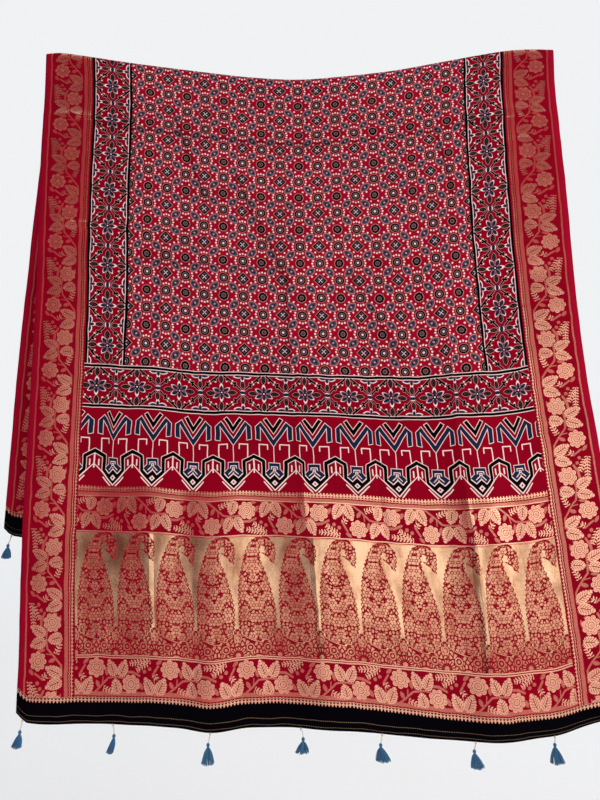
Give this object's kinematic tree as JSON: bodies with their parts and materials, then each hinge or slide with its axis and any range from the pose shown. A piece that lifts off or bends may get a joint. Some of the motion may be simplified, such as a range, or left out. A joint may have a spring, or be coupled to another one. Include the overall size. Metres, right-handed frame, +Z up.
{
  "type": "ajrakh dupatta cloth",
  "caption": "Long block-printed ajrakh cloth with brocade borders and paisley ends, hung over a line with one leg longer, thread tassels along both hems.",
  "frame": {"origin": "top of the fold, in the middle of the cloth's width, where the line carries it", "axes": "+Z up, +X across the cloth to the viewer's right, +Y from the front leg to the back leg"},
  "size_m": [1.1584, 0.0752, 1.4197],
  "materials": {
    "printed_silk": "printed silk with woven metallic thread, soft sheen",
    "cream_thread": "matte twisted thread",
    "blue_thread": "matte cotton thread"
  },
  "bodies": {
    "root": {"cloth": "printed_silk", "tassel_string_front_1": "cream_thread", "tassel_string_front_2": "cream_thread", "tassel_string_front_3": "cream_thread", "tassel_string_front_4": "cream_thread", "tassel_string_front_5": "cream_thread", "tassel_string_front_6": "cream_thread", "tassel_string_front_7": "cream_thread", "tassel_string_front_8": "cream_thread", "tassel_string_back_1": "cream_thread", "tassel_string_back_2": "cream_thread", "tassel_string_back_3": "cream_thread", "tassel_string_back_4": "cream_thread", "tassel_string_back_5": "cream_thread", "tassel_string_back_6": "cream_thread", "tassel_string_back_7": "cream_thread", "tassel_string_back_8": "cream_thread", "tassel_front_1": "blue_thread", "tassel_front_2": "blue_thread", "tassel_front_3": "blue_thread", "tassel_front_4": "blue_thread", "tassel_front_5": "blue_thread", "tassel_front_6": "blue_thread", "tassel_front_7": "blue_thread", "tassel_front_8": "blue_thread", "tassel_back_1": "blue_thread", "tassel_back_2": "blue_thread", "tassel_back_3": "blue_thread", "tassel_back_4": "blue_thread", "tassel_back_5": "blue_thread", "tassel_back_6": "blue_thread", "tassel_back_7": "blue_thread", "tassel_back_8": "blue_thread"}
  },
  "joints": []
}
